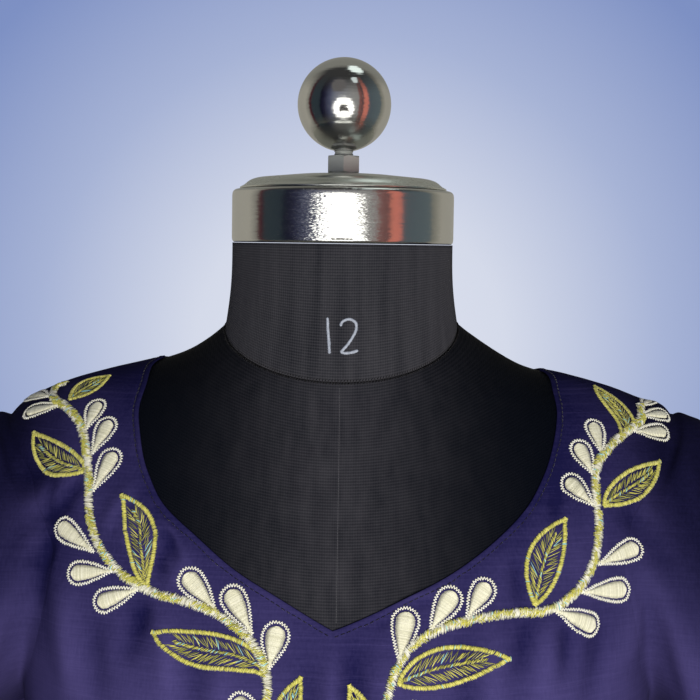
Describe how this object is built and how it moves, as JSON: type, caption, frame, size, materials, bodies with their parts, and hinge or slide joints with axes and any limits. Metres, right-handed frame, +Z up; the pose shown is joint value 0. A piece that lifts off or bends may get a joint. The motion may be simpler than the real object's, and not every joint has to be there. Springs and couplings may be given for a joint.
{
  "type": "kurti on a dress form",
  "caption": "Navy kurti with a deep embroidered neckline, three-quarter sleeves and side slits, worn by a limbless dress form on a round base.",
  "frame": {"origin": "centre of the base's underside, below the form's neck axis", "axes": "+Z up along the stand's pole, -Y towards the garment's front, +X to the right as seen from the front"},
  "size_m": [0.4779, 0.43, 1.576],
  "materials": {
    "cloth": "soft sheen",
    "mesh_fabric": "matt knit mesh",
    "chrome": "polished, lightly scratched",
    "zinc": "zinc plated",
    "black_steel": "satin black"
  },
  "bodies": {
    "root": {"front": "cloth", "back": "cloth", "sleeve_left": "cloth", "sleeve_right": "cloth", "form_torso": "mesh_fabric", "form_neck": "mesh_fabric", "cap_band": "chrome", "cap_lid": "chrome", "nut": "zinc", "stud": "zinc", "ball": "chrome", "socket": "black_steel", "pole": "chrome", "collar": "black_steel", "base": "black_steel"}
  },
  "joints": []
}
